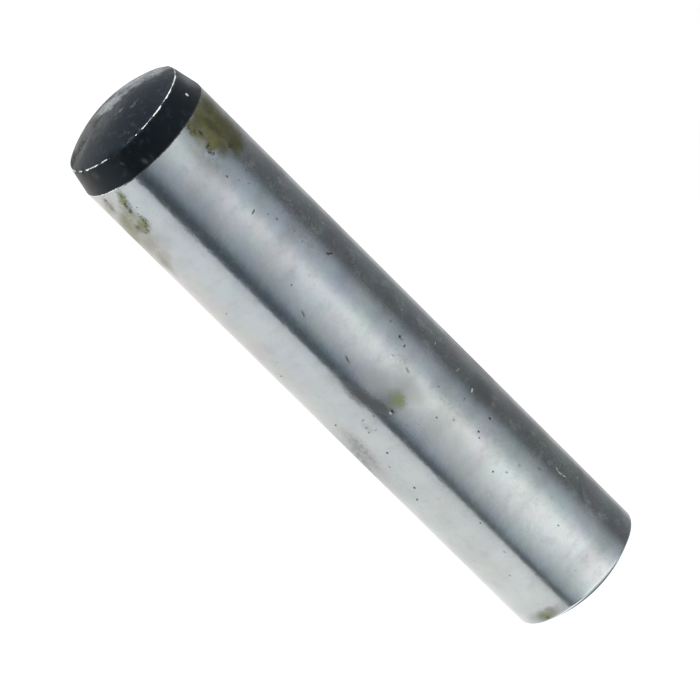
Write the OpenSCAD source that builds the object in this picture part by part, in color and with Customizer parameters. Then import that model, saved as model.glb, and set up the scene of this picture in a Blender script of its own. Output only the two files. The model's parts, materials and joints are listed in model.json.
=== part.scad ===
// Solid dowel pin: a hardened shank, ground all over, between two crowned ends.
// The pin lies along X, on its own axis, with the middle of its length at the origin.
// Its tapered lead-in end points to -X and its plain end to +X.

/* [Shank] */
// Diameter of the ground shank
pin_d = 6; // [4:0.5:12]
// Overall length of the pin, from tip to tip of the crowned ends
pin_l = 28; // [14:1:60]

/* [Lead-in end] */
// Length of the taper, from the shank to the rim of the crowned face
lead_l = 1.15; // [0.5:0.05:3]
// Slope of the taper to the pin's axis, in degrees
lead_angle = 12; // [4:0.5:20]
// Height of the crowned face over its rim
lead_crown_h = 0.74; // [0.3:0.02:1.2]
// Radius that breaks the edge between taper and crowned face
lead_edge_r = 0.08; // [0.03:0.01:0.3]

/* [Plain end] */
// Height of the crowned face over its rim
tail_crown_h = 0.9; // [0.3:0.02:1.2]
// Radius that rounds the corner between shank and crowned face
tail_corner_r = 0.14; // [0.05:0.01:0.5]

/* [Finish] */
// Facets around the pin
pin_facets = 144; // [48:12:240]

/* [Hidden] */

// In the outlines, x is the distance from the axis and y is the place along it. An end's outline
// has the tip of its crowned face at y = 0, with the pin behind it, towards -y.
shank_r = pin_d / 2;
// A round is drawn this much over its size, so that it covers both sides of the cut it fills
hair = 0.00002;

// How far an end's outline reaches in from its tip, past its flank and its round onto the shank
function end_depth(flank_l, crown_h, edge_r) = flank_l + crown_h + 2 * edge_r;

// Radius of the ball that a crowned face is cut from, by the face's rim radius and its height
function ball_radius(rim_r, crown_h) = (rim_r * rim_r + crown_h * crown_h) / (2 * crown_h);

// Direction from one point to another
function toward(from, to) = (to - from) / norm(to - from);

// Centre of a round of radius r that touches the ball from inside, and also the straight flank
// that passes through flank_at, runs along flank_dir and faces out along flank_out
function round_centre(r, ball_at, ball_r, flank_at, flank_dir, flank_out) =
    let (
        from = flank_at - r * flank_out,
        gap = from - ball_at,
        along = gap * flank_dir,
        reach = sqrt(along * along - gap * gap + (ball_r - r) * (ball_r - r))
    )
    from + (reach - along) * flank_dir;

// The sharp tip of a corner, between the directions out_a and out_b from the centre of its round
module corner_tip(r, out_a, out_b) {
    reach = 2 * r;
    out_mid = toward([0, 0], out_a + out_b);
    polygon([[0, 0], reach * out_a, reach * out_mid, reach * out_b]);
}

// One end of the pin: the shank, a flank at flank_angle to the axis, and the crowned face, with
// the edge between the last two rounded
module end_outline(flank_l, flank_angle, crown_h, edge_r) {
    depth = end_depth(flank_l, crown_h, edge_r);
    flank_depth = flank_l + crown_h;
    flank_at = [shank_r, -flank_depth];
    flank_dir = [-sin(flank_angle), cos(flank_angle)];
    flank_out = [cos(flank_angle), sin(flank_angle)];
    ball_r = ball_radius(shank_r - flank_l * tan(flank_angle), crown_h);
    ball_at = [0, -ball_r];
    round_at = round_centre(edge_r, ball_at, ball_r, flank_at, flank_dir, flank_out);
    difference() {
        intersection() {
            polygon([
                [0, -depth],
                [shank_r, -depth],
                flank_at,
                [shank_r - flank_depth * tan(flank_angle), 0],
                [0, 0]
            ]);
            translate(ball_at)
                circle(r = ball_r, $fn = 4 * pin_facets);
        }
        translate(round_at)
            corner_tip(edge_r, flank_out, toward(ball_at, round_at));
    }
    translate(round_at)
        circle(r = edge_r + hair, $fn = pin_facets);
}

module pin_outline() {
    lead_depth = end_depth(lead_l, lead_crown_h, lead_edge_r);
    tail_depth = end_depth(0, tail_crown_h, tail_corner_r);
    translate([0, pin_l / 2])
        end_outline(lead_l, lead_angle, lead_crown_h, lead_edge_r);
    translate([0, tail_depth - pin_l / 2])
        square([shank_r, pin_l - lead_depth - tail_depth]);
    translate([0, -pin_l / 2])
        mirror([0, 1])
            end_outline(0, 0, tail_crown_h, tail_corner_r);
}

module dowel_pin() {
    color("silver")
        rotate([0, -90, 0])
            rotate_extrude($fn = pin_facets)
                pin_outline();
}

dowel_pin();
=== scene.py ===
"""A hardened dowel pin with its worn, stained finish, lying on a white sheet in a graded light tent."""

import json
import math

import bmesh
import bpy
from bpy.props import FloatProperty, FloatVectorProperty, IntProperty, PointerProperty
from mathutils import Matrix, Vector, noise


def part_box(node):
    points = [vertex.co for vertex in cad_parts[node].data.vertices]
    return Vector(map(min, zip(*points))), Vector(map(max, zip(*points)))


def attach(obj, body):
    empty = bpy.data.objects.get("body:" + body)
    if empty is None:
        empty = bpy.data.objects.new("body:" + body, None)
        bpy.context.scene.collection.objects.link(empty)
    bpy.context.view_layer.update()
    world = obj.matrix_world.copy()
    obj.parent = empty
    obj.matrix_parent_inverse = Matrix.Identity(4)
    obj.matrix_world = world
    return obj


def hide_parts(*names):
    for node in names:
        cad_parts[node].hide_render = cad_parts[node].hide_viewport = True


bl_info = {
    "name": "Worn Dowel Pin",
    "version": (1, 0, 0),
    "blender": (4, 5, 0),
    "location": "3D View > Sidebar > Dowel Pin",
    "description": "Models a hardened and ground dowel pin with its scale, stains and pits",
    "category": "Add Mesh",
}

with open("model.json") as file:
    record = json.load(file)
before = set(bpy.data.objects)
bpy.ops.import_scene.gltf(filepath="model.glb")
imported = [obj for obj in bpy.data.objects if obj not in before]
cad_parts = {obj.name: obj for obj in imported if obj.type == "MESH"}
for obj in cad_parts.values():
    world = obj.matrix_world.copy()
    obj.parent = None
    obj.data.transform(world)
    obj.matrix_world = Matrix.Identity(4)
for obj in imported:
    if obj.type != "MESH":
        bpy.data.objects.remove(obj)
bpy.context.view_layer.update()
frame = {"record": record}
PIN_LOW, PIN_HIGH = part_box("dowel_pin")
MM = 0.001
SHANK_R = frame["record"]["mounts"][0]["dims"]["r_mm"] * MM
MM_PER_DEGREE = math.radians(1) * SHANK_R / MM

# Name of the pin's object and mesh
PIN_NAME = "worn_dowel_pin"


# Settings: sizes and colours that a user would change

# What the settings of one kind share
LENGTH = {"min": 0, "precision": 5, "unit": "LENGTH", "subtype": "DISTANCE"}
ANGLE = {"unit": "ROTATION", "subtype": "ANGLE"}
COLOR = {"min": 0, "max": 1, "subtype": "COLOR"}
SHARE = {"min": 0, "max": 1, "subtype": "FACTOR"}


class PinSizes(bpy.types.PropertyGroup):
    """Form of the pin's two ends, over the length and diameter that the frame gives"""

    taper_length: FloatProperty(
        name="Taper length", description="From the shank to the rim of the crowned face",
        default=1.15 * MM, **LENGTH)
    taper_angle: FloatProperty(
        name="Taper angle", description="Slope of the taper to the pin's axis",
        default=math.radians(12), **ANGLE)
    lead_crown_height: FloatProperty(
        name="Lead crown height", description="Height of the lead-in end's crowned face over its rim",
        default=0.74 * MM, **LENGTH)
    lead_edge_radius: FloatProperty(
        name="Lead edge radius", description="Round between the taper and the crowned face",
        default=0.08 * MM, **LENGTH)
    tail_crown_height: FloatProperty(
        name="Tail crown height", description="Height of the plain end's crowned face over its rim",
        default=0.9 * MM, **LENGTH)
    tail_corner_radius: FloatProperty(
        name="Tail corner radius", description="Round between the shank and the plain end's face",
        default=0.14 * MM, **LENGTH)
    chip_depth: FloatProperty(
        name="Chip depth", description="Depth of the deepest chip in the lead-in end's edge",
        default=0.06 * MM, **LENGTH)
    turns: IntProperty(
        name="Faces around", description="Faces around the pin", default=288, min=48, max=720)


class PinFinish(bpy.types.PropertyGroup):
    """Colours and gloss of the ground steel, the hardening scale and the stains"""

    steel_cool: FloatVectorProperty(
        name="Cool steel", description="Ground steel towards the lead-in end",
        default=(0.53, 0.573, 0.605), **COLOR)
    steel_warm: FloatVectorProperty(
        name="Warm steel", description="Ground steel towards the plain end",
        default=(0.55, 0.587, 0.588), **COLOR)
    scale_color: FloatVectorProperty(
        name="Hardening scale", description="Blue-black scale left by hardening",
        default=(0.0035, 0.0075, 0.0155), **COLOR)
    side_scale_color: FloatVectorProperty(
        name="Side scale", description="Blacker scale on the taper and the plain end",
        default=(0.0032, 0.0036, 0.0048), **COLOR)
    # Also the colour of the painted sheen toward the back and top of the lead-in end's face
    rubbed_and_sheen_color: FloatVectorProperty(
        name="Rubbed scale", description="Scale that handling has rubbed to grey",
        default=(0.5, 0.505, 0.505), **COLOR)
    bare_color: FloatVectorProperty(
        name="Bare edge", description="Steel where an edge has lost its scale",
        default=(0.95, 0.95, 0.94), **COLOR)
    film_tint: FloatVectorProperty(
        name="Oil film", description="Olive film that old oil leaves on the steel",
        default=(0.155, 0.155, 0.038), **COLOR)
    crust_color: FloatVectorProperty(
        name="Crust", description="Dark residue in the stains and pits",
        default=(0.034, 0.042, 0.018), **COLOR)
    steel_roughness: FloatProperty(
        name="Steel roughness", description="Roughness of the ground shank", default=0.14, **SHARE)
    scale_roughness: FloatProperty(
        name="Scale roughness", description="Roughness of the hardening scale", default=0.36, **SHARE)


class PinStage(bpy.types.PropertyGroup):
    """Camera and light tent"""

    azimuth: FloatProperty(
        name="Azimuth", description="Where the camera stands around the pin, from -Y towards +X",
        default=math.radians(-24.92), **ANGLE)
    elevation: FloatProperty(
        name="Elevation", description="Height of the camera over the sheet",
        default=math.radians(37.8), **ANGLE)
    roll: FloatProperty(
        name="Roll", description="Turn of the camera about its own line of sight",
        default=math.radians(60.62), **ANGLE)
    distance: FloatProperty(
        name="Distance", description="From the camera to the middle of the pin",
        default=0.27044, **LENGTH)
    lens: FloatProperty(
        name="Lens", description="Focal length in millimetres", default=356.12, min=20, max=1000)
    tent_radius: FloatProperty(
        name="Tent radius", description="From the pin's axis to the wall of the light tent",
        default=0.1, **LENGTH)


# Node helpers

def put(tree, kind, inputs=None, **settings):
    """Adds a shader node of that kind, with its settings, and gives each named input a value or a link."""
    node = tree.nodes.new("ShaderNode" + kind)
    for name, value in settings.items():
        setattr(node, name, value)
    for key, value in (inputs or {}).items():
        if isinstance(value, bpy.types.NodeSocket):
            tree.links.new(value, node.inputs[key])
        else:
            node.inputs[key].default_value = value
    return node


def calc(tree, operation, *values, clamp=False):
    """The result of one Math node."""
    inputs = dict(enumerate(values))
    return put(tree, "Math", inputs, operation=operation, use_clamp=clamp).outputs[0]


def times(tree, first, second):
    """Two values multiplied."""
    return calc(tree, "MULTIPLY", first, second)


def plus(tree, first, second):
    """Two values added."""
    return calc(tree, "ADD", first, second)


def minus(tree, first, second):
    """The second value taken from the first."""
    return calc(tree, "SUBTRACT", first, second)


def hypotenuse(tree, first, second):
    """The distance whose two parts at right angles are given."""
    squares = plus(tree, calc(tree, "POWER", first, 2), calc(tree, "POWER", second, 2))
    return calc(tree, "SQRT", squares)


def vector_calc(tree, operation, *values):
    """The vector that one Vector Math node gives."""
    return put(tree, "VectorMath", dict(enumerate(values)), operation=operation).outputs["Vector"]


def scaled(tree, vector, factor):
    """A vector times a single value."""
    return put(tree, "VectorMath", {0: vector, "Scale": factor}, operation="SCALE").outputs[0]


def ease(tree, value, start, end, low=0, high=1):
    """A smooth step: low at start and high at end."""
    inputs = {"Value": value, "From Min": start, "From Max": end, "To Min": low, "To Max": high}
    return put(tree, "MapRange", inputs, interpolation_type="SMOOTHSTEP").outputs["Result"]


def blend(tree, factor, first, second, blend_type="MIX"):
    """A mix of two colours, each a socket or a colour."""
    inputs = {0: factor, 6: opaque(first), 7: opaque(second)}
    node = put(tree, "Mix", inputs, data_type="RGBA", blend_type=blend_type)
    return node.outputs[2]


def opaque(color):
    """A plain colour with its alpha, or the socket as it is."""
    if isinstance(color, bpy.types.NodeSocket):
        return color
    return (*color[:3], 1)


def cloud(tree, place, size, detail=3, roughness=0.5, stretch=(1, 1, 1), offset=0):
    """Soft noise from 0 to 1 in blotches of about size millimetres, on a place in millimetres."""
    moved = put(tree, "Mapping", {
        "Vector": place,
        "Location": (offset, offset, offset),
        "Scale": tuple(s / size for s in stretch)})
    inputs = {"Vector": moved.outputs[0], "Scale": 1, "Detail": detail, "Roughness": roughness}
    return put(tree, "TexNoise", inputs).outputs["Fac"]


# Names of the groups' sockets that hold vectors. The others hold single values
VECTORS = ("Object", "Place", "Unrolled", "Centre", "Half size")


def new_group(name, takes, gives):
    """A shader node group, with its named inputs and outputs, and its two end nodes' sockets."""
    group = bpy.data.node_groups.new(name, "ShaderNodeTree")
    for side, labels in (("INPUT", takes), ("OUTPUT", gives)):
        for label in labels:
            kind = "NodeSocketVector" if label in VECTORS else "NodeSocketFloat"
            group.interface.new_socket(name=label, in_out=side, socket_type=kind)
    start = group.nodes.new("NodeGroupInput")
    end = group.nodes.new("NodeGroupOutput")
    return group, start.outputs, end.inputs


def use(tree, group, inputs):
    """Places a group in a tree with its own values, and gives its outputs."""
    return put(tree, "Group", inputs, node_tree=group).outputs


# Effects that the finishes share

def places_group():
    """Where a point of the pin lies, in millimetres, and in degrees around it from -Y over +Z."""
    group, given, wanted = new_group(
        "Places on the pin", ["Object"], ["Place", "Unrolled", "Along", "Around", "Out"])
    place = scaled(group, given["Object"], 1 / MM)
    parts = put(group, "SeparateXYZ", {0: place}).outputs
    front = times(group, parts["Y"], -1)
    around = calc(group, "DEGREES", calc(group, "ARCTAN2", parts["Z"], front))
    unrolled = put(group, "CombineXYZ", {"X": parts["X"], "Y": times(group, around, MM_PER_DEGREE)})
    group.links.new(place, wanted["Place"])
    group.links.new(unrolled.outputs[0], wanted["Unrolled"])
    group.links.new(parts["X"], wanted["Along"])
    group.links.new(around, wanted["Around"])
    group.links.new(hypotenuse(group, parts["Y"], parts["Z"]), wanted["Out"])
    return group


def patch_group():
    """A ragged oval patch on the unrolled surface, soft at its edge."""
    group, given, wanted = new_group(
        "Patch", ["Place", "Centre", "Half size", "Turn", "Soft edge", "Ragged", "Grain"], ["Cover"])
    from_centre = vector_calc(group, "SUBTRACT", given["Place"], given["Centre"])
    turned = put(group, "VectorRotate", {
        "Vector": from_centre, "Angle": given["Turn"]}, rotation_type="Z_AXIS").outputs[0]
    shares = vector_calc(group, "DIVIDE", turned, given["Half size"])
    length = put(group, "VectorMath", {0: shares}, operation="LENGTH").outputs["Value"]
    ragged = times(group, minus(group, given["Grain"], 0.5), given["Ragged"])
    inner = minus(group, 1, given["Soft edge"])
    group.links.new(ease(group, plus(group, length, ragged), 1, inner), wanted["Cover"])
    return group


def pits_group():
    """Scattered round pits: a share of the cells of a Voronoi pattern each hold one."""
    group, given, wanted = new_group("Pits", ["Place", "Spacing", "Share", "Radius"], ["Cover"])
    per_mm = calc(group, "DIVIDE", 1, given["Spacing"])
    cells = {"Vector": given["Place"], "Scale": per_mm}
    cells = put(group, "TexVoronoi", cells, feature="F1").outputs
    chances = put(group, "SeparateColor", {0: cells["Color"]}).outputs
    holds_one = calc(group, "LESS_THAN", chances["Red"], given["Share"])
    radius = times(group, given["Radius"], plus(group, chances["Green"], 0.5))
    away = times(group, cells["Distance"], given["Spacing"])
    dot = ease(group, away, radius, times(group, radius, 0.45))
    group.links.new(times(group, dot, holds_one), wanted["Cover"])
    return group


def worn_edge_group():
    """Bare metal along a rim: near the circle of that place and radius, broken up by grain."""
    group, given, wanted = new_group(
        "Worn edge", ["Along", "Out", "Rim along", "Rim out", "Width", "Grain", "Broken"], ["Cover"])
    along = minus(group, given["Along"], given["Rim along"])
    out = minus(group, given["Out"], given["Rim out"])
    away = calc(group, "DIVIDE", hypotenuse(group, along, out), given["Width"])
    ragged = times(group, minus(group, given["Grain"], 0.5), given["Broken"])
    group.links.new(ease(group, plus(group, away, ragged), 1, 0.55), wanted["Cover"])
    return group


EFFECTS = {}


def effects():
    """The shared groups, built once."""
    if not EFFECTS:
        EFFECTS.update(places=places_group(), patch=patch_group())
        EFFECTS.update(pits=pits_group(), worn=worn_edge_group())
    return EFFECTS


# Marks, placed as seen: where along and around the pin in millimetres and degrees from -Y over +Z,
# half length and half width in millimetres, turn in degrees, and strength

# Old oil that has dried to an olive film
OIL_FILMS = [
    (-10.95, 84, 1.55, 1, 12, 1.7), (-10.6, 97, 1.5, 1.05, -8, 1.4), (-11.6, 76, 0.9, 0.7, 0, 1.6),
    (-10.7, 77, 0.7, 0.5, 25, 1.2), (-9.9, 93, 0.75, 0.9, 12, 1.2), (-11.6, 93, 1, 1.2, 0, 1.6),
    (-11.4, 108, 1.1, 0.8, 0, 1), (-10.3, 107, 1.1, 0.8, 0, 0.9), (-11.5, -7.5, 0.95, 0.34, -30, 0.7),
    (-10.8, -10, 0.5, 0.3, -20, 0.45), (-10.2, -12, 0.66, 0.45, -35, 0.75),
    (-10.6, -26, 1.6, 0.65, -58, 0.75), (-9.9, -38, 1.8, 0.7, -62, 0.6),
    (-9.3, -24, 1.4, 0.7, -60, 0.4), (-8.5, -28, 1.4, 0.6, -60, 0.45),
    (-11.3, -32, 1.2, 0.5, -60, 0.55), (1.5, 38, 0.6, 0.4, 30, 0.35), (12.85, -6, 0.36, 0.75, 0, 0.6),
]
# Yellow-green spots that the oil has left
GREEN_SPOTS = [
    (1.8, 35, 0.6, 0.42, 70, 1), (12.9, -5, 0.22, 0.35, 0, 0.6), (-11.6, -6, 0.7, 0.26, -26, 0.8),
    (-10.3, -9.5, 0.6, 0.36, -40, 0.75), (-10.3, -25, 1.7, 0.8, -50, 0.15),
    (-10.9, 62, 1.3, 0.4, 0, 0.25), (-11.4, 68.5, 0.6, 0.22, 0, 0.5), (-10.2, -22, 0.7, 0.3, -60, 0.5),
    (-9.9, -36, 1.2, 0.35, -60, 0.35),
]
# Grey film, rubbed matt, that hides the mirror under it
DULL_FILMS = [
    (0.9, 35, 1.7, 0.85, 8, 0.6), (1.7, 46, 1.4, 0.8, 10, 0.6), (3, -26, 2.2, 0.9, -15, 0.6),
    (3.2, -42, 3.2, 1.4, 0, 0.6), (-9.3, -8, 0.7, 0.8, -60, 0.3), (-8.1, -28, 0.8, 0.4, -15, 0.6),
    (-11.6, -24, 0.7, 0.3, -12, 0.9), (-9.7, -32, 2.4, 1.6, -50, 0.5), (12.85, -7, 0.5, 1.45, 0, 1),
    (2.2, 33, 0.7, 0.5, 0, 0.4), (4.4, 41, 3.4, 0.9, 0, 0.33), (3.8, 118, 2.6, 1.2, 0, 0.6),
    (-10.5, 119, 2, 0.9, 0, 0.6), (1.9, 3, 0.5, 0.25, 20, 0.35), (3.1, 70, 1.1, 0.5, 0, 0.3),
]
# Oil that has thickened and darkened
GREASE = [
    (-11, 89, 1.3, 0.5, 4, 1), (-10.6, 98, 1.4, 0.9, 0, 0.9), (-11.6, 101, 0.7, 0.8, 0, 0.9),
    (-9.9, 95, 0.65, 1, 14, 1.3), (-10.3, 79, 0.5, 0.5, 30, 0.7), (-11.8, 82, 0.45, 0.6, 0, 0.6),
    (4.3, 92, 0.9, 0.9, 0, 0.3), (9.8, 106, 0.7, 0.7, 60, 0.4), (12.92, -7, 0.2, 0.3, 0, 0.25),
    (12.62, 0, 0.16, 0.6, -12, 0.4), (9.1, 97, 0.16, 0.12, 0, 1.6), (7.1, 94, 0.14, 0.14, 0, 0.8),
    (9.95, 111, 0.4, 0.3, 0, 0.8), (-10.15, -19, 0.42, 0.26, -50, 0.6),
    (-11.1, -9, 0.5, 0.16, -30, 0.35), (-10.7, 58, 1.6, 0.55, 0, 0.3),
]
# Dull soot-grey smear under the middle film
SMEARS = [
    (0.65, 18.5, 1.5, 0.42, 8, 1.3), (1.4, 22, 1, 0.42, 16, 1.5), (0.6, 13.5, 0.9, 0.24, 8, 0.7),
    (1.5, 31, 0.9, 0.7, 25, 0.45), (3.4, -30, 3, 1.7, 0, 0.22), (3.6, 118, 2.4, 0.8, 0, 0.2),
]
# Dark crust in and by the films
CRUSTS = [
    (-11.75, -4.5, 0.35, 0.14, 10, 0.9), (-11.3, -7, 0.42, 0.24, -35, 0.95),
    (-11, -10, 0.25, 0.16, -30, 0.9), (-10.7, -6, 0.22, 0.12, -10, 0.7),
    (-10.3, -8, 0.38, 0.24, -30, 0.9), (-9.95, -13, 0.25, 0.22, -50, 0.8),
    (-10.2, -18, 0.3, 0.18, 0, 0.7), (-11.85, -23, 0.14, 0.14, 0, 0.8),
    (-11.4, -25, 0.2, 0.1, -20, 0.7), (-11.75, 72, 0.42, 0.26, 0, 1.2),
    (-11.35, 75, 0.3, 0.12, -10, 1), (-10.85, 72, 0.12, 0.18, 0, 1),
    (-10.6, 70, 0.24, 0.16, 10, 1.6), (-10.08, 86, 0.17, 0.2, 0, 1.6), (-9.98, 90, 0.12, 0.14, 30, 0.9),
    (-11.7, 103, 0.1, 0.2, 0, 0.6), (12.95, -6, 0.14, 0.12, 0, 1.1), (0.2, 73, 0.16, 0.2, 45, 0.9),
    (2.7, -19, 1.6, 0.5, -5, 0.28), (3.3, -36, 1.5, 0.5, -25, 0.4), (0.6, 58, 1.2, 0.7, 0, 0.1),
    (3.6, 62, 1.6, 0.7, 0, 0.12), (5.7, 66, 1.3, 0.6, 0, 0.12), (-10.4, 66, 1.2, 0.35, 0, 0.2),
    (-5.5, 73, 1.6, 0.35, 0, 0.15),
]
# Rust pits deep enough to have a relief
DEEP_PITS = [
    (1.93, 27, 0.11, 0.07, -20, 1.4), (-7.78, 60, 0.06, 0.16, 10, 0.8), (-4.2, 81, 0.3, 0.07, 55, 1.2),
    (-3.5, 32, 0.24, 0.07, -18, 0.7), (-0.9, 31, 0.26, 0.07, -20, 0.75),
    (0.12, 72, 0.09, 0.09, 20, 1.2), (0.5, 69, 0.06, 0.11, 0, 1), (5.2, 77, 0.11, 0.08, 0, 1),
    (3.25, -1, 0.07, 0.08, 0, 1), (5.15, -7, 0.1, 0.08, 0, 0.9),
]
# Shallow rust pits that stand out from the rest
PITS = [
    (2.75, 27, 0.07, 0.05, 0, 0.4), (3.05, 34, 0.06, 0.04, 30, 0.35), (2.9, 24, 0.1, 0.05, 0, 0.4),
    (3.3, 24, 0.08, 0.05, 0, 0.4), (1.87, 2, 0.09, 0.07, 30, 0.5), (2.1, 0.5, 0.1, 0.06, -20, 0.6),
    (2.15, 7, 0.05, 0.09, 20, 0.45), (1.62, 14, 0.07, 0.05, 0, 0.7), (0.35, 57, 0.12, 0.05, 0, 0.4),
    (-11.9, 71, 0.13, 0.1, 0, 0.7), (-11.65, 72.5, 0.1, 0.15, 30, 0.7),
    (-11.35, 74.5, 0.14, 0.06, -20, 0.7), (-10.85, 70, 0.12, 0.08, 0, 0.8),
    (-10.6, 69.5, 0.14, 0.07, 0, 1), (-3.1, 92, 0.12, 0.05, 45, 0.5), (0.9, 93, 0.14, 0.06, 40, 0.7),
    (1.95, 88, 0.06, 0.06, 0, 0.7), (4.15, 83, 0.13, 0.07, 30, 0.7), (3.85, 73, 0.05, 0.13, 0, 0.5),
    (-9, 70, 0.08, 0.05, 0, 0.4), (-8.6, 74, 0.1, 0.05, 40, 0.5), (-9.5, 65, 0.1, 0.06, 0, 0.8),
    (-9, 81, 0.16, 0.07, -40, 0.6), (-7.25, 67, 0.08, 0.06, 30, 0.4), (-6.83, 69, 0.07, 0.06, 0, 0.9),
    (-5.95, 73, 0.07, 0.07, 0, 0.4), (-5.45, 71, 0.05, 0.08, 10, 0.6), (-4.65, 41, 0.05, 0.05, 0, 0.8),
    (-4.32, 79, 0.09, 0.07, 40, 0.9), (-0.55, 76, 0.07, 0.09, 0, 0.6), (1.2, 57, 0.2, 0.08, -20, 0.45),
    (2.65, 65, 0.06, 0.06, 0, 0.6), (3.4, 47, 0.08, 0.06, 10, 0.6), (4, 55, 0.07, 0.06, 20, 0.5),
    (4.3, 81, 0.14, 0.09, 40, 0.6), (5.12, 62, 0.08, 0.07, 0, 0.9), (5.3, 59, 0.07, 0.06, 0, 0.8),
    (6.65, 48, 0.06, 0.07, 0, 0.8), (7.1, 55, 0.09, 0.05, 20, 0.5), (7.35, 66, 0.09, 0.06, -20, 0.4),
    (8.15, 76, 0.18, 0.07, 20, 0.5), (10.2, 54, 0.07, 0.05, 0, 0.7), (7.9, 13, 0.07, 0.05, -30, 0.7),
    (9.5, 10, 0.11, 0.05, 10, 0.4), (1.52, 5, 0.05, 0.12, 0, 0.5), (3.85, -10, 0.1, 0.07, -20, 0.5),
    (5.7, -15, 0.07, 0.12, 20, 0.8), (-11.02, -2, 0.05, 0.05, 0, 0.9),
    (-5.25, -17, 0.05, 0.08, 10, 0.6), (1.22, -21, 0.06, 0.12, 10, 0.9),
    (-1.7, -27, 0.06, 0.12, 10, 0.6),
]
# Small bright nicks where the patina is broken
NICKS = [
    (1.6, 92, 0.04, 0.12, 0, 0.8), (3, 89, 0.05, 0.2, -15, 0.5), (3.95, 84, 0.06, 0.15, 10, 1.3),
    (8.84, 88.7, 0.13, 0.035, -25, 1.3), (9.05, 87.8, 0.2, 0.04, 0, 1.3),
    (9.28, 88.7, 0.14, 0.035, 28, 1.3), (9.9, 99, 0.05, 0.15, 0, 0.5), (1.95, 25, 0.12, 0.05, 0, 0.9),
]
# Bright speck on the taper
GLINTS = [
    (-12.6, 96, 0.085, 0.08, 0, 2),
]
# Grey dust on the taper
TAPER_RUBS = [
    (-12.7, 120, 0.8, 0.9, 0, 0.35), (-12.34, 30, 0.28, 0.17, 30, 0.13),
    (-12.77, 14, 0.2, 0.1, 30, 0.1), (-12.95, -13, 0.4, 0.3, 0, 0.07),
]
# Spots rubbed grey on the lead-in end's face, by their places in Y and Z instead. Those toward the face's
# back and top are also a painted sheen, where the face catches the light
CROWN_RUBS_AND_SHEEN = [
    (0.04, 0.05, 0.8, 0.52, 60, 2), (0.2, -0.5, 0.7, 0.5, 30, 0.9), (1.35, 0.1, 0.6, 0.8, 0, 1.2),
    (0.5, 0.68, 0.5, 0.28, 60, 0.8), (0.85, 0.9, 0.5, 0.4, 45, 0.7), (1.5, 1.5, 1.1, 0.6, 45, 1),
    (1.8, 0.6, 0.8, 0.6, 80, 0.9), (1.35, 0.7, 1.15, 0.5, 28, 1.4), (1.95, 1.25, 0.65, 0.55, 40, 1.5),
    (0.35, -0.05, 0.8, 0.4, 35, 1.3), (0.72, 0.95, 0.8, 0.28, 66, 0.9), (-0.6, 0.1, 1.5, 1.1, 20, 0.14),
    (-1.15, -1.1, 0.9, 0.7, 40, 0.35), (-0.5, -2.1, 0.9, 0.5, 20, 0.25),
    (-0.8, 0.8, 0.3, 0.07, 60, 0.5), (-0.55, 1.5, 0.35, 0.08, 20, 0.35),
]
# Dull dark grime on that face, by places in Y and Z too
FACE_GRIME = [
    (-0.3, -2.4, 1.2, 0.5, 10, 1.3), (0.6, -2, 0.9, 0.4, 30, 1), (-1.3, -2.1, 0.7, 0.5, -30, 1.2),
    (-1.2, -1.3, 1, 0.5, 70, 1), (-0.6, -0.5, 0.6, 0.25, 45, 0.7),
]
# Bare stretches of the rims: which rim, the line's width in millimetres, how broken it is, and from where
# to where around the pin in degrees
RIM_WEAR = [
    ("lead", 0.032, 1.2, 60, 108),
    ("lead", 0.028, 1.9, 116, 200),
    ("lead", 0.022, 2, 12, 60),
    ("lead", 0.036, 1.2, -190, 8),
    ("shank", 0.035, 1.6, -60, -6),
    ("tail", 0.22, 0.5, -190, 190),
]


# Finishes

# Colours, and the scale's index of refraction
BROWNED_STEEL = (0.6, 0.55, 0.46)
DULLED_STEEL = (0.2, 0.215, 0.22)
MATT_FILM = (0.36, 0.365, 0.35)
BROWN_OIL = (0.17, 0.155, 0.085)
DARK_GREASE = (0.07, 0.066, 0.035)
SOOT = (0.125, 0.132, 0.132)
YELLOW_GREEN = (0.24, 0.27, 0.12)
PALER_SCALE = (0.01, 0.013, 0.016)
SCUFFED_SCALE = (0.26, 0.35, 0.46)
BLUE_SHEEN = (0.66, 0.87, 1, 1)
SCALE_IOR = 1.36


def grow(tree, covers):
    """The strongest of several covers."""
    total = covers[0]
    for cover in covers[1:]:
        total = calc(tree, "MAXIMUM", total, cover)
    return total


def marks(tree, unrolled, grain, table, soft, ragged, across=MM_PER_DEGREE):
    """All the patches of one table as one cover."""
    covers = []
    for along, around, half_length, half_width, turn, strength in table:
        cover = use(tree, effects()["patch"], {
            "Place": unrolled,
            "Centre": (along, around * across, 0),
            "Half size": (half_length, half_width, 1),
            "Turn": -math.radians(turn),
            "Soft edge": soft,
            "Ragged": ragged,
            "Grain": grain})["Cover"]
        covers.append(times(tree, cover, strength))
    return calc(tree, "MINIMUM", grow(tree, covers), 1)


def dots(tree, place, spacing, share, radius):
    """Scattered dots: their spacing and radius in millimetres, and the share of places that hold one."""
    inputs = {"Place": place, "Spacing": spacing, "Share": share, "Radius": radius}
    return use(tree, effects()["pits"], inputs)["Cover"]


def warped(tree, place, size, reach):
    """A place moved about by soft noise, so that what is drawn there loses its even outline."""
    shift = {"Vector": place, "Scale": 1 / size, "Detail": 3, "Roughness": 0.6}
    shift = put(tree, "TexNoise", shift).outputs["Color"]
    shift = vector_calc(tree, "SUBTRACT", shift, (0.5, 0.5, 0.5))
    return vector_calc(tree, "ADD", place, scaled(tree, shift, reach))


def in_sector(tree, around, start, end, soft=8):
    """1 between two angles around the pin, easing off outside them."""
    rise = ease(tree, around, start - soft, start)
    fall = ease(tree, around, end + soft, end)
    return times(tree, rise, fall)


def bare_material(name):
    """A node material with no nodes yet, and its tree."""
    material = bpy.data.materials.new(name)
    material.use_nodes = True
    material.node_tree.nodes.clear()
    return material, material.node_tree


def show_surface(tree, shader):
    """Makes that shader node the material's surface."""
    output = put(tree, "OutputMaterial")
    tree.links.new(shader.outputs[0], output.inputs["Surface"])


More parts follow.
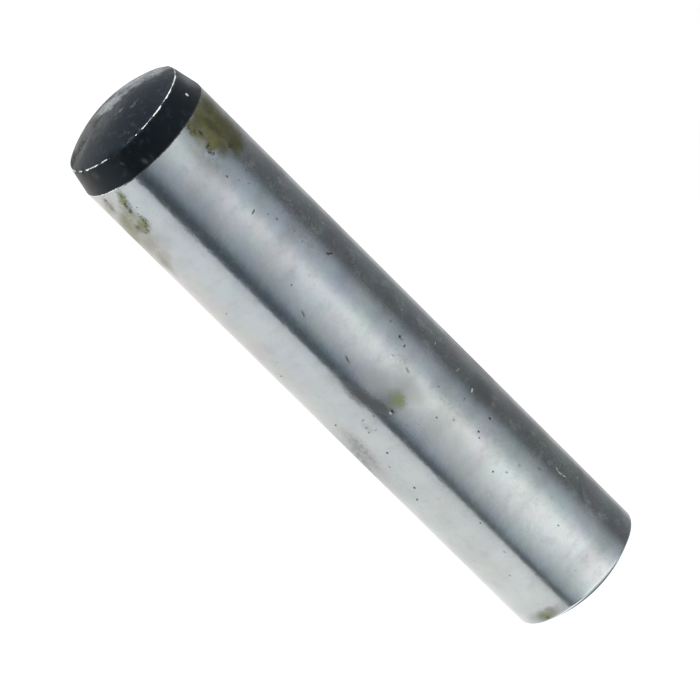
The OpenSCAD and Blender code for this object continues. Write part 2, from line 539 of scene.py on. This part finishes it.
def new_material(name):
    """A finish: its material, its tree, its Principled shader, and the pin's places."""
    material, tree = bare_material(name)
    shader = put(tree, "BsdfPrincipled")
    show_surface(tree, shader)
    places = use(tree, effects()["places"], {"Object": put(tree, "TexCoord").outputs["Object"]})
    return material, tree, shader, places


def bump(tree, shader, height, depth_mm):
    """Gives the shader a relief of that height, where 1 is depth_mm high."""
    node = put(tree, "Bump", {"Height": height, "Strength": 1, "Distance": depth_mm * MM})
    tree.links.new(node.outputs[0], shader.inputs["Normal"])


def steel_clouds(tree, place):
    """The soft noises that break up the shank's finish, by name."""
    motes = {"Vector": place, "Scale": 0.8, "Detail": 4, "Roughness": 0.55}
    return {
        "wide": cloud(tree, place, 2.4, 2, offset=3.1),
        "bands": cloud(tree, place, 1.3, 2, stretch=(1, 0.4, 0.4), offset=8.2),
        "lines": cloud(tree, place, 1, 2, 0.6, stretch=(28, 0.8, 0.8), offset=5),
        "browning": cloud(tree, place, 0.9, 3, 0.5, offset=12.6),
        "patchy": cloud(tree, place, 0.5, 5, 0.6, offset=7.7),
        "crumbs": cloud(tree, place, 0.16, 3, 0.7, offset=6.6),
        "fine": cloud(tree, place, 0.1, 3, 0.7, offset=1.3),
        "motes": put(tree, "TexNoise", motes).outputs["Color"],
    }


def lay_patina(tree, finish, places, clouds):
    """The steel's colour under its cloudy patina, how dull it is, and the haze that scatters light."""
    on_top = ease(tree, places["Around"], 5, 85, 0.55, 1.4)
    drifting = plus(tree, places["Along"], times(tree, clouds["wide"], 6))
    steel = blend(tree, ease(tree, drifting, -8, 12), finish.steel_cool, finish.steel_warm)
    browned = {"Value": clouds["browning"], "From Min": 0.35, "From Max": 0.7}
    browned = put(tree, "MapRange", browned).outputs["Result"]
    steel = blend(tree, times(tree, browned, 0.14), steel, BROWNED_STEEL)
    steel = blend(tree, times(tree, on_top, 0.12), steel, clouds["motes"], "OVERLAY")
    dull_patches = ease(tree, clouds["patchy"], 0.42, 0.72, 0, 0.14)
    dull_bands = ease(tree, clouds["bands"], 0.42, 0.66, 0, 0.18)
    dull = times(tree, plus(tree, dull_patches, dull_bands), on_top)
    steel = blend(tree, dull, steel, DULLED_STEEL)
    grain = ease(tree, clouds["fine"], 0.45, 0.72, 0, 0.1)
    haze = times(tree, on_top, plus(tree, grain, ease(tree, clouds["patchy"], 0.5, 0.72, 0, 0.15)))
    return steel, dull, haze


def lay_films(tree, finish, places, clouds, steel):
    """The steel's colour under its films of oil, grease and soot, and each film's cover by name."""
    unrolled, patchy, fine = places["Unrolled"], clouds["patchy"], clouds["fine"]
    loose = warped(tree, unrolled, 0.5, 0.55)
    oil = marks(tree, loose, patchy, OIL_FILMS, 0.9, 0.6)
    films = {
        "oil": times(tree, oil, ease(tree, fine, 0.3, 0.65, 0.85, 1)),
        "matt": marks(tree, warped(tree, unrolled, 0.9, 0.35), patchy, DULL_FILMS, 0.9, 0.4),
        "grease": marks(tree, loose, patchy, GREASE, 0.9, 0.8),
        "smear": marks(tree, warped(tree, unrolled, 0.5, 0.3), fine, SMEARS, 1, 0.7),
        "green": marks(tree, loose, patchy, GREEN_SPOTS, 1, 0.5),
    }
    olive = blend(tree, ease(tree, clouds["browning"], 0.4, 0.65), finish.film_tint, BROWN_OIL)
    steel = blend(tree, films["matt"], steel, MATT_FILM)
    steel = blend(tree, films["oil"], steel, olive)
    steel = blend(tree, times(tree, films["grease"], 0.75), steel, DARK_GREASE)
    steel = blend(tree, films["smear"], steel, SOOT)
    steel = blend(tree, films["green"], steel, YELLOW_GREEN)
    return steel, films


def lay_specks(tree, finish, places, clouds, steel, start_mm):
    """The steel's colour with its crust, pits and nicks, and the cover of what is dark, deep or bright."""
    place, unrolled, fine = places["Place"], places["Unrolled"], clouds["fine"]
    crust = marks(tree, warped(tree, unrolled, 0.16, 0.22), fine, CRUSTS, 0.8, 0.8)
    crust = times(tree, crust, ease(tree, clouds["crumbs"], 0.42, 0.58))
    pitted = warped(tree, unrolled, 0.08, 0.06)
    deep = marks(tree, pitted, fine, DEEP_PITS, 0.75, 0.6)
    shallow = marks(tree, pitted, fine, PITS, 0.75, 0.6)
    scattered = times(tree, dots(tree, place, 1.3, 0.3, 0.05), 0.5)
    specks = dots(tree, place, 0.4, 0.2, 0.035)
    specks = times(tree, specks, ease(tree, clouds["wide"], 0.46, 0.6, 0.15, 0.7))
    # The taper's scale creeps a little way onto the shank
    creeping = minus(tree, places["Along"], times(tree, fine, 0.14))
    creeping = ease(tree, creeping, start_mm, start_mm - 0.03)
    creeping = times(tree, creeping, ease(tree, places["Around"], 0, 10))
    dark = grow(tree, [crust, deep, shallow, scattered, specks, creeping])
    steel = blend(tree, dark, steel, finish.crust_color)
    bright = marks(tree, unrolled, fine, NICKS, 0.8, 0.8)
    steel = blend(tree, bright, steel, finish.bare_color)
    return steel, dark, deep, bright


def ground_steel(finish, start_mm):
    """Bright ground steel with fine grinding lines, a cloudy patina, old oil and rust pits."""
    material, tree, shader, places = new_material("ground_steel")
    clouds = steel_clouds(tree, places["Place"])
    steel, dull, haze = lay_patina(tree, finish, places, clouds)
    steel, films = lay_films(tree, finish, places, clouds, steel)
    steel, dark, deep, bright = lay_specks(tree, finish, places, clouds, steel, start_mm)
    tree.links.new(steel, shader.inputs["Base Color"])

    scatter = haze
    for name, share in (("oil", 0.7), ("matt", 0.72), ("green", 0.75)):
        scatter = grow(tree, [scatter, times(tree, films[name], share)])
    scatter = grow(tree, [scatter, times(tree, bright, 0.45)])
    # A thin dark edge must not scatter more than it darkens
    for cover, share in ((dark, 0.8), (films["grease"], 0.7), (films["smear"], 0.9)):
        scatter = grow(tree, [scatter, times(tree, times(tree, cover, cover), share)])
    tree.links.new(minus(tree, 1, scatter), shader.inputs["Metallic"])

    rough = finish.steel_roughness
    for cover, share in ((dull, 0.25), (films["matt"], 0.3), (films["oil"], 0.1)):
        rough = plus(tree, rough, times(tree, cover, share))
    rough = calc(tree, "ADD", rough, times(tree, dark, 0.4), clamp=True)
    tree.links.new(rough, shader.inputs["Roughness"])

    # Relief in thousandths of a millimetre
    relief = plus(tree, times(tree, clouds["lines"], 0.7), times(tree, clouds["patchy"], 7))
    relief = plus(tree, relief, times(tree, clouds["fine"], 1.5))
    relief = times(tree, relief, ease(tree, places["Around"], 25, 75, 0.9, 0.7))
    relief = minus(tree, relief, times(tree, deep, 2.5))
    bump(tree, shader, relief, 0.001)
    return material


def face_places(tree, place):
    """Places on a crowned face, by Y and Z."""
    parts = put(tree, "SeparateXYZ", {0: place}).outputs
    return put(tree, "CombineXYZ", {"X": parts["Y"], "Y": parts["Z"]}).outputs[0]


def rubbed_grey_and_sheen(tree, places, face, at_lead, patchy, fine):
    """Where handling has rubbed the lead-in end grey, grainy and with dark dots left in it. Toward the
    back and top of the face, this grey is also a painted sheen.
    """
    face_rubs_and_sheen = marks(tree, warped(tree, face, 0.6, 0.7), patchy, CROWN_RUBS_AND_SHEEN, 1, 1.2, across=1)
    face_rubs_and_sheen = times(tree, face_rubs_and_sheen, at_lead)
    on_taper = marks(tree, warped(tree, places["Unrolled"], 0.6, 0.4), patchy, TAPER_RUBS, 1, 0.8)
    rubs_and_sheen = grow(tree, [face_rubs_and_sheen, on_taper])
    rubs_and_sheen = times(tree, rubs_and_sheen, ease(tree, fine, 0.35, 0.6, 0.45, 1))
    left_dark = times(tree, dots(tree, places["Place"], 0.2, 0.3, 0.05), 0.75)
    return times(tree, rubs_and_sheen, minus(tree, 1, left_dark))


def bare_rims(tree, places, patchy, fine, rims):
    """Where the rims have worn bare. They are nicked, so the bare line wanders a little."""
    wander = plus(tree, times(tree, patchy, 0.11), times(tree, fine, 0.09))
    wandering = plus(tree, places["Along"], minus(tree, wander, 0.1))
    worn = [marks(tree, places["Unrolled"], fine, GLINTS, 0.5, 0.3)]
    for name, width, broken, start, end in RIM_WEAR:
        along, out = rims[name]
        edge = use(tree, effects()["worn"], {
            "Along": wandering, "Out": places["Out"], "Rim along": along / MM, "Rim out": out / MM,
            "Width": width, "Grain": patchy, "Broken": broken})["Cover"]
        worn.append(times(tree, edge, in_sector(tree, places["Around"], start, end)))
    return grow(tree, worn)


def hardening_scale(finish, rims):
    """Blue-black scale on the ends, rubbed grey in places, with a painted sheen on the lead-in end's face,
    and worn through along its edges.
    """
    material, tree, shader, places = new_material("hardening_scale")
    place, along = places["Place"], places["Along"]
    wide = cloud(tree, place, 1.1, 3, 0.55, offset=2.2)
    patchy = cloud(tree, place, 0.3, 4, 0.65, offset=9.4)
    fine = cloud(tree, place, 0.08, 3, 0.65, offset=4.4)
    face = face_places(tree, place)
    face_share = ease(tree, along, -13.15, -13.3)
    at_lead = ease(tree, along, -13.1, -13.2)

    color = blend(tree, face_share, finish.side_scale_color, finish.scale_color)
    paler = times(tree, face_share, ease(tree, wide, 0.35, 0.7, 0, 0.5))
    color = blend(tree, paler, color, PALER_SCALE)
    scuffs = times(tree, ease(tree, patchy, 0.5, 0.75), ease(tree, wide, 0.4, 0.65, 0.02, 0.22))
    dust = times(tree, ease(tree, fine, 0.55, 0.75), ease(tree, wide, 0.4, 0.6, 0.02, 0.12))
    scuffs = times(tree, plus(tree, scuffs, dust), ease(tree, face_share, 0, 1, 0.35, 1))
    color = blend(tree, scuffs, color, SCUFFED_SCALE)
    # Grey rubs, which toward the back and top of the lead-in end's face are also a painted sheen
    rubs_and_sheen = rubbed_grey_and_sheen(tree, places, face, at_lead, patchy, fine)
    color = blend(tree, rubs_and_sheen, color, finish.rubbed_and_sheen_color)
    grime = marks(tree, warped(tree, face, 0.5, 0.3), patchy, FACE_GRIME, 1, 0.6, across=1)
    grime = times(tree, times(tree, grime, at_lead), ease(tree, fine, 0.4, 0.6, 0.1, 1))
    color = blend(tree, grime, color, finish.side_scale_color)
    bare = bare_rims(tree, places, patchy, fine, rims)
    color = blend(tree, bare, color, finish.bare_color)
    tree.links.new(color, shader.inputs["Base Color"])

    rubbed_and_sheen_share = times(tree, grow(tree, [rubs_and_sheen, scuffs]), 0.5)
    tree.links.new(grow(tree, [bare, rubbed_and_sheen_share]), shader.inputs["Metallic"])
    shader.inputs["IOR"].default_value = SCALE_IOR
    shader.inputs["Specular Tint"].default_value = BLUE_SHEEN
    unevenness = times(tree, minus(tree, patchy, 0.5), 0.25)
    rough = plus(tree, finish.scale_roughness, unevenness)
    rough = plus(tree, rough, times(tree, grime, 0.4))
    rough = calc(tree, "SUBTRACT", rough, times(tree, bare, 0.14), clamp=True)
    tree.links.new(rough, shader.inputs["Roughness"])

    # Relief in shares of 0.012 mm, coarser on the face and coarsest under grime
    coarseness = plus(tree, ease(tree, face_share, 0, 1, 0.25, 0.5), times(tree, grime, 2))
    relief = plus(tree, times(tree, patchy, 0.8), times(tree, fine, coarseness))
    bump(tree, shader, relief, 0.012)
    return material


# The pin

# Steps and cuts along the stretches of the pin's outline
CROWN_STEPS = 22
TAPER_CUTS = 6
SHANK_CUTS = 35
LEAD_EDGE_STEPS = 5
TAIL_CORNER_STEPS = 6

# Chips in the lead-in end's edge: degrees around, half width in millimetres, share of the full depth
CHIPS = [
    (14, 0.3, 1), (-1, 0.1, 0.4), (-24, 0.12, 0.8), (-36, 0.2, 0.5), (152, 0.2, 0.6),
    (-120, 0.25, 0.7),
]
# How far from the edge a chip reaches, and the size of the edge's waves and of a chip's crumbs
CHIP_REACH = 0.14 * MM
WAVE_SIZE = 0.25 * MM
CRUMB_SIZE = 0.12 * MM


def ball_radius(rim_r, height):
    """Radius of the ball that a crowned face of this rim and height is cut from."""
    return (rim_r ** 2 + height ** 2) / (2 * height)


def crown_angle(rim_r, height):
    """Angle from a crowned face's tip to its rim, at its ball's centre."""
    return math.asin(rim_r / ball_radius(rim_r, height))


def draw_crown(bm, tip_x, behind, rim_r, height):
    """Turns a crowned face's tip about its ball's centre, out to the rim, and gives the rim's vertex."""
    tip = bm.verts.new((tip_x, 0, 0))
    turned = bmesh.ops.spin(
        bm, geom=[tip], cent=(tip_x + behind * ball_radius(rim_r, height), 0, 0), axis=(0, behind, 0),
        angle=crown_angle(rim_r, height), steps=CROWN_STEPS, use_duplicate=False)
    return turned["geom_last"][0]


def rim_edges(bm, along, out):
    """The ring of edges at that place along the pin and distance from its axis."""
    near = 1e-6

    def on_rim(vert):
        distance_out = math.hypot(vert.co.y, vert.co.z)
        return abs(vert.co.x - along) < near and abs(distance_out - out) < near

    return [edge for edge in bm.edges if on_rim(edge.verts[0]) and on_rim(edge.verts[1])]


def round_rim(bm, along, out, radius, turn, steps):
    """Rounds a rim where the outline turns by that angle."""
    reach = radius * math.tan(turn / 2)
    bmesh.ops.bevel(
        bm, geom=rim_edges(bm, along, out), offset=reach, offset_type="OFFSET", affect="EDGES",
        segments=steps, profile=0.5, material=-1, clamp_overlap=True)


def chip_rim(bm, along, out, chip_depth):
    """Dents the lead-in end's edge, with a fine waviness and a few chips."""
    waviness = 0.1 * chip_depth
    for vert in bm.verts:
        distance_out = math.hypot(vert.co.y, vert.co.z)
        away = math.hypot(vert.co.x - along, distance_out - out)
        if away > CHIP_REACH:
            continue
        around = math.degrees(math.atan2(vert.co.z, -vert.co.y))
        depth = waviness * (1 + noise.noise(vert.co / WAVE_SIZE))
        crumbling = 1 + 0.6 * noise.noise(vert.co / CRUMB_SIZE)
        for angle, half_width, share in CHIPS:
            turn = (around - angle + 180) % 360 - 180
            aside = math.radians(turn) * out / (half_width * MM)
            depth += share * chip_depth * math.exp(-aside ** 2) * crumbling
        # Away from the solid, between the crowned face's way out and the taper's
        outward = Vector((-0.6 * distance_out, 0.8 * vert.co.y, 0.8 * vert.co.z)) / distance_out
        vert.co -= outward * depth * (1 - away / CHIP_REACH) ** 2


def build_pin(sizes):
    """The pin's mesh, and its rims by name: each one's place along the pin and distance from its axis."""
    lead_tip, tail_tip = PIN_LOW.x, PIN_HIGH.x
    lead_x = lead_tip + sizes.lead_crown_height
    lead_r = SHANK_R - sizes.taper_length * math.tan(sizes.taper_angle)
    shank_x = lead_x + sizes.taper_length
    tail_x = tail_tip - sizes.tail_crown_height

    bm = bmesh.new()
    lead_rim = draw_crown(bm, lead_tip, 1, lead_r, sizes.lead_crown_height)
    tail_rim = draw_crown(bm, tail_tip, -1, SHANK_R, sizes.tail_crown_height)
    shank_start = bm.verts.new((shank_x, 0, SHANK_R))
    taper = bm.edges.new((lead_rim, shank_start))
    shank = bm.edges.new((shank_start, tail_rim))
    bmesh.ops.subdivide_edges(bm, edges=[taper], cuts=TAPER_CUTS)
    bmesh.ops.subdivide_edges(bm, edges=[shank], cuts=SHANK_CUTS)
    bmesh.ops.spin(
        bm, geom=bm.verts[:] + bm.edges[:], cent=(0, 0, 0), axis=(1, 0, 0), angle=math.tau,
        steps=sizes.turns, use_merge=True, use_duplicate=False)
    bmesh.ops.remove_doubles(bm, verts=bm.verts, dist=1e-7)
    bmesh.ops.recalc_face_normals(bm, faces=bm.faces)

    lead_turn = math.pi / 2 - sizes.taper_angle - crown_angle(lead_r, sizes.lead_crown_height)
    tail_turn = math.pi / 2 - crown_angle(SHANK_R, sizes.tail_crown_height)
    round_rim(bm, lead_x, lead_r, sizes.lead_edge_radius, lead_turn, LEAD_EDGE_STEPS)
    round_rim(bm, tail_x, SHANK_R, sizes.tail_corner_radius, tail_turn, TAIL_CORNER_STEPS)
    bmesh.ops.recalc_face_normals(bm, faces=bm.faces)
    chip_rim(bm, lead_x, lead_r, sizes.chip_depth)

    shank_end_x = tail_x - 0.1 * sizes.tail_corner_radius
    for face in bm.faces:
        face.smooth = True
        on_shank = shank_x < face.calc_center_median().x < shank_end_x
        face.material_index = 0 if on_shank else 1
    for edge in rim_edges(bm, shank_x, SHANK_R):
        edge.smooth = False

    mesh = bpy.data.meshes.new(PIN_NAME)
    bm.to_mesh(mesh)
    bm.free()
    return mesh, {"lead": (lead_x, lead_r), "shank": (shank_x, SHANK_R), "tail": (tail_x, SHANK_R)}


class MESH_OT_dowel_pin_add(bpy.types.Operator):
    """Models the pin over its frame, with its finishes"""

    bl_idname = "mesh.dowel_pin_add"
    bl_label = "Add Dowel Pin"

    def execute(self, context):
        mesh, rims = build_pin(context.scene.pin_sizes)
        finish = context.scene.pin_finish
        mesh.materials.append(ground_steel(finish, rims["shank"][0] / MM))
        mesh.materials.append(hardening_scale(finish, rims))
        pin = bpy.data.objects.new(PIN_NAME, mesh)
        context.scene.collection.objects.link(pin)
        weighted = pin.modifiers.new("Weighted normals", "WEIGHTED_NORMAL")
        weighted.keep_sharp = True
        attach(pin, "root")
        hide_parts("dowel_pin")
        return {"FINISHED"}


# The stage: floor, light tent, world and camera

FLOOR_NAME = "white_sheet"
TENT_NAME = "graded_tent"
FLOOR_SIZE = 2
FLOOR_GAP = 0.01 * MM
TENT_STEPS = 64

# The tent's wall by its angle in degrees over the sheet in front of the pin: how bright and how cool
TENT_TONES = [
    (-8, 0.08, 0.2), (2, 0.135, 0.18), (8, 0.27, 0.14), (16, 0.46, 0.09), (28, 0.63, 0.05),
    (44, 0.89, 0.02), (60, 1.09, 0), (72, 1.13, 0), (82, 0.86, 0.04), (94, 0.62, 0.07),
    (108, 0.48, 0.08), (118, 0.305, 0.08), (128, 0.155, 0.06), (142, 0.155, 0.05), (158, 0.2, 0.04),
    (172, 0.245, 0.03), (190, 0.38, 0.01),
]
# Place along the tent, in millimetres, that the middle of the shank shows to the camera, and how far on
# either side of it the pattern changes
TENT_MIDDLE = 34.5
TENT_CHANGES = 16

# Colours of the sheet, the wall and their light
WHITE = (1, 1, 1)
COOL_WHITE = (0.85, 1, 1.16)
WARM_WHITE = (1.045, 1, 0.955)
SHADED_PAPER = (0.3, 0.3, 0.3)
WALL_LOW = (0.15, 0.19, 0.235)
WALL_HIGH = (0.55, 0.6, 0.65)
CORNER_GLOW = (1.6, 1.6, 1.6)
EDGE_GLOW = (1.4, 1.4, 1.4)

# What the camera looks at, in millimetres from the middle of the pin, and its sensor's width
CAMERA_AIM = (-0.036, -0.097, -0.133)
SENSOR_WIDTH = 36


def place_in_mm(tree):
    """An object's own X, Y and Z in millimetres."""
    place = scaled(tree, put(tree, "TexCoord").outputs["Object"], 1 / MM)
    return put(tree, "SeparateXYZ", {0: place}).outputs


def sheet_in_metal(tree, along, across, away):
    """The sheet's light on the metal: a pool, cool where it ends and warm by the pin."""
    # In front the lit sheet ends about 25 mm from the pin, and behind the pin it dims over a longer way
    front = times(tree, ease(tree, away, 17, 7, 0.83, 0.98), ease(tree, away, 27.5, 20.5, 0.13, 1))
    front = times(tree, front, ease(tree, along, 4, 20, 1, 1.13))
    back = plus(tree, ease(tree, away, 90, 25, 0.15, 0.56), ease(tree, away, 18, 3, 0, 0.22))
    behind = ease(tree, across, -2, 4)
    pool = put(tree, "Mix", {0: behind, 2: front, 3: back}, data_type="FLOAT").outputs[0]
    tint = blend(tree, calc(tree, "MAXIMUM", pool, behind), COOL_WHITE, WHITE)
    warmth = times(tree, ease(tree, away, 5.5, 3), ease(tree, along, 8, -6, 0.1, 1))
    tint = blend(tree, warmth, tint, WARM_WHITE)
    return put(tree, "Emission", {"Color": tint, "Strength": pool}).outputs[0]


def sheet_in_view(tree, away):
    """The sheet as the camera sees it: plain white, with the pin's faint shadow."""
    near = ease(tree, away, 30, 4)
    strength = minus(tree, 1, times(tree, near, 0.06))
    white = put(tree, "Emission", {"Color": opaque(WHITE), "Strength": strength})
    paper = blend(tree, near, (0, 0, 0), SHADED_PAPER)
    paper = put(tree, "BsdfDiffuse", {"Color": paper})
    return put(tree, "AddShader", {0: white.outputs[0], 1: paper.outputs[0]}).outputs[0]


def floor_material():
    """A white sheet that the camera and the metal see in different light."""
    material, tree = bare_material(FLOOR_NAME)
    place = place_in_mm(tree)
    beyond_end = minus(tree, calc(tree, "ABSOLUTE", place["X"]), PIN_HIGH.x / MM)
    away = hypotenuse(tree, calc(tree, "MAXIMUM", beyond_end, 0), place["Y"])
    light = put(tree, "LightPath").outputs
    mix = put(tree, "MixShader", {
        0: calc(tree, "MAXIMUM", light["Is Camera Ray"], light["Is Transmission Ray"]),
        1: sheet_in_metal(tree, place["X"], place["Y"], away),
        2: sheet_in_view(tree, away)})
    show_surface(tree, mix)
    return material


def tent_bands(tree, angle):
    """The wall's tones by angle, as a ramp."""
    low, high = TENT_TONES[0][0], TENT_TONES[-1][0]
    share = put(tree, "MapRange", {"Value": angle, "From Min": low, "From Max": high})
    ramp = put(tree, "ValToRGB", {0: share.outputs["Result"]})
    stops = ramp.color_ramp.elements
    for index, (degrees, tone, cool) in enumerate(TENT_TONES):
        position = (degrees - low) / (high - low)
        stop = stops[index] if index < 2 else stops.new(position)
        stop.position = position
        stop.color = (tone * (1 - cool), tone, tone * (1 + cool), 1)
    return ramp.outputs["Color"]


def lean_and_gain(tree, along, angle):
    """How far the pattern leans over in front towards the plain end, and how much it brightens there."""
    beyond = minus(tree, along, TENT_MIDDLE)
    beyond = calc(tree, "MINIMUM", calc(tree, "MAXIMUM", beyond, -TENT_CHANGES), TENT_CHANGES)
    lean = plus(tree, times(tree, beyond, 0.47), ease(tree, beyond, 10, 14.5, 0, 1.8))
    lean = times(tree, lean, ease(tree, angle, 80, 45))
    gain = plus(tree, 1, times(tree, beyond, ease(tree, angle, 108, 84, 0, 0.0075)))
    gain = plus(tree, gain, ease(tree, beyond, 10.5, 14.5, 0, 0.08))
    return lean, gain


def tent_material():
    """The tent's graded glow, by angle over the sheet and place along the pin."""
    material, tree = bare_material(TENT_NAME)
    material.cycles.emission_sampling = "NONE"
    place = place_in_mm(tree)
    along = place["X"]
    angle = calc(tree, "DEGREES", calc(tree, "ARCTAN2", place["Z"], times(tree, place["Y"], -1)))
    # Below the horizon at the back, the angle runs on past 180 degrees
    angle = plus(tree, angle, times(tree, calc(tree, "LESS_THAN", angle, -90), 360))
    lean, gain = lean_and_gain(tree, along, angle)
    angle = plus(tree, angle, lean)
    pattern = scaled(tree, tent_bands(tree, angle), gain)
    # The dark lead-in end shows a plainer wall
    plain = blend(tree, ease(tree, angle, 30, 130), WALL_LOW, WALL_HIGH)
    plain = blend(tree, ease(tree, angle, 135, 175), plain, WHITE)
    color = blend(tree, ease(tree, along, 14, -14), pattern, plain)
    # The plain end's round corner catches a lighter stretch past the shank's
    corner = times(tree, ease(tree, along, 60, 85), ease(tree, angle, 15, 35))
    corner = times(tree, corner, ease(tree, angle, 120, 90))
    color = blend(tree, corner, color, CORNER_GLOW)
    # The lead-in end's worn edge catches a brighter stretch beyond
    color = blend(tree, ease(tree, along, -40, -70), color, EDGE_GLOW)
    show_surface(tree, put(tree, "Emission", {"Color": color}))
    return material


def add_object(name, bm, material):
    """Puts a finished bmesh in the scene as an object of one material."""
    mesh = bpy.data.meshes.new(name)
    bm.to_mesh(mesh)
    bm.free()
    mesh.materials.append(material)
    obj = bpy.data.objects.new(name, mesh)
    bpy.context.scene.collection.objects.link(obj)
    return obj


def add_floor():
    """The sheet that the pin lies on, just under its lowest line."""
    bm = bmesh.new()
    bmesh.ops.create_grid(bm, x_segments=1, y_segments=1, size=FLOOR_SIZE)
    bmesh.ops.translate(bm, verts=bm.verts, vec=(0, 0, PIN_LOW.z - FLOOR_GAP))
    floor = add_object(FLOOR_NAME, bm, floor_material())


def add_tent(radius):
    """A long half pipe over the pin, glowing on its inside, that the camera doesn't see."""
    bm = bmesh.new()
    half_length = 2 * radius
    start = bm.verts.new((-half_length, -radius, PIN_LOW.z))
    end = bm.verts.new((half_length, -radius, PIN_LOW.z))
    edge = bm.edges.new((start, end))
    bmesh.ops.spin(
        bm, geom=[start, end, edge], cent=(0, 0, PIN_LOW.z), axis=(1, 0, 0), angle=-math.pi,
        steps=TENT_STEPS, use_duplicate=False)
    tent = add_object(TENT_NAME, bm, tent_material())
    tent.visible_camera = False
    tent.visible_shadow = False
    tent.visible_transmission = False


def light_world():
    """A white backdrop for the camera and for what metal shows beyond the tent."""
    world = bpy.data.worlds.new("white_backdrop")
    bpy.context.scene.world = world
    world.use_nodes = True
    tree = world.node_tree
    tree.nodes.clear()
    light = put(tree, "LightPath").outputs
    seen = grow(tree, [light["Is Camera Ray"], light["Is Glossy Ray"], light["Is Transmission Ray"]])
    strength = plus(tree, 0.5, times(tree, seen, 0.5))
    background = put(tree, "Background", {"Color": opaque(WHITE), "Strength": strength})
    output = put(tree, "OutputWorld")
    tree.links.new(background.outputs[0], output.inputs["Surface"])


def add_camera(stage):
    """The camera, where the photograph was taken from."""
    data = bpy.data.cameras.new("photo_camera")
    data.sensor_width = SENSOR_WIDTH
    data.lens = stage.lens
    data.clip_start = 0.01
    data.clip_end = 10
    camera = bpy.data.objects.new("photo_camera", data)
    bpy.context.scene.collection.objects.link(camera)
    back = Vector((
        math.sin(stage.azimuth) * math.cos(stage.elevation),
        -math.cos(stage.azimuth) * math.cos(stage.elevation),
        math.sin(stage.elevation)))
    place = Matrix.Translation(Vector(CAMERA_AIM) * MM + back * stage.distance)
    look = (-back).to_track_quat("-Z", "Y").to_matrix().to_4x4()
    camera.matrix_world = place @ look @ Matrix.Rotation(stage.roll, 4, "Z")
    bpy.context.scene.camera = camera


class SCENE_OT_dowel_pin_stage(bpy.types.Operator):
    """Sets up the sheet, the light tent, the backdrop and the camera"""

    bl_idname = "scene.dowel_pin_stage"
    bl_label = "Set Up Stage"

    def execute(self, context):
        stage = context.scene.pin_stage
        add_floor()
        add_tent(stage.tent_radius)
        light_world()
        add_camera(stage)
        context.scene.view_settings.view_transform = "Standard"
        return {"FINISHED"}


class VIEW3D_PT_dowel_pin(bpy.types.Panel):
    """Sizes, finish and stage of the dowel pin"""

    bl_label = "Dowel Pin"
    bl_idname = "VIEW3D_PT_dowel_pin"
    bl_space_type = "VIEW_3D"
    bl_region_type = "UI"
    bl_category = "Dowel Pin"

    def draw(self, context):
        for title, group in (("Ends", "pin_sizes"), ("Finish", "pin_finish"), ("Stage", "pin_stage")):
            box = self.layout.box()
            box.label(text=title)
            settings = getattr(context.scene, group)
            for name in settings.bl_rna.properties.keys():
                if name not in ("rna_type", "name"):
                    box.prop(settings, name)
        self.layout.operator(MESH_OT_dowel_pin_add.bl_idname)
        self.layout.operator(SCENE_OT_dowel_pin_stage.bl_idname)


CLASSES = (
    PinSizes, PinFinish, PinStage,
    MESH_OT_dowel_pin_add, SCENE_OT_dowel_pin_stage, VIEW3D_PT_dowel_pin)
SETTINGS = {"pin_sizes": PinSizes, "pin_finish": PinFinish, "pin_stage": PinStage}


def register():
    for cls in CLASSES:
        bpy.utils.register_class(cls)
    for name, group in SETTINGS.items():
        setattr(bpy.types.Scene, name, PointerProperty(type=group))


def unregister():
    for name in SETTINGS:
        delattr(bpy.types.Scene, name)
    for cls in reversed(CLASSES):
        bpy.utils.unregister_class(cls)


def main():
    register()
    bpy.ops.scene.dowel_pin_stage()
    bpy.ops.mesh.dowel_pin_add()


if __name__ == "__main__":
    main()
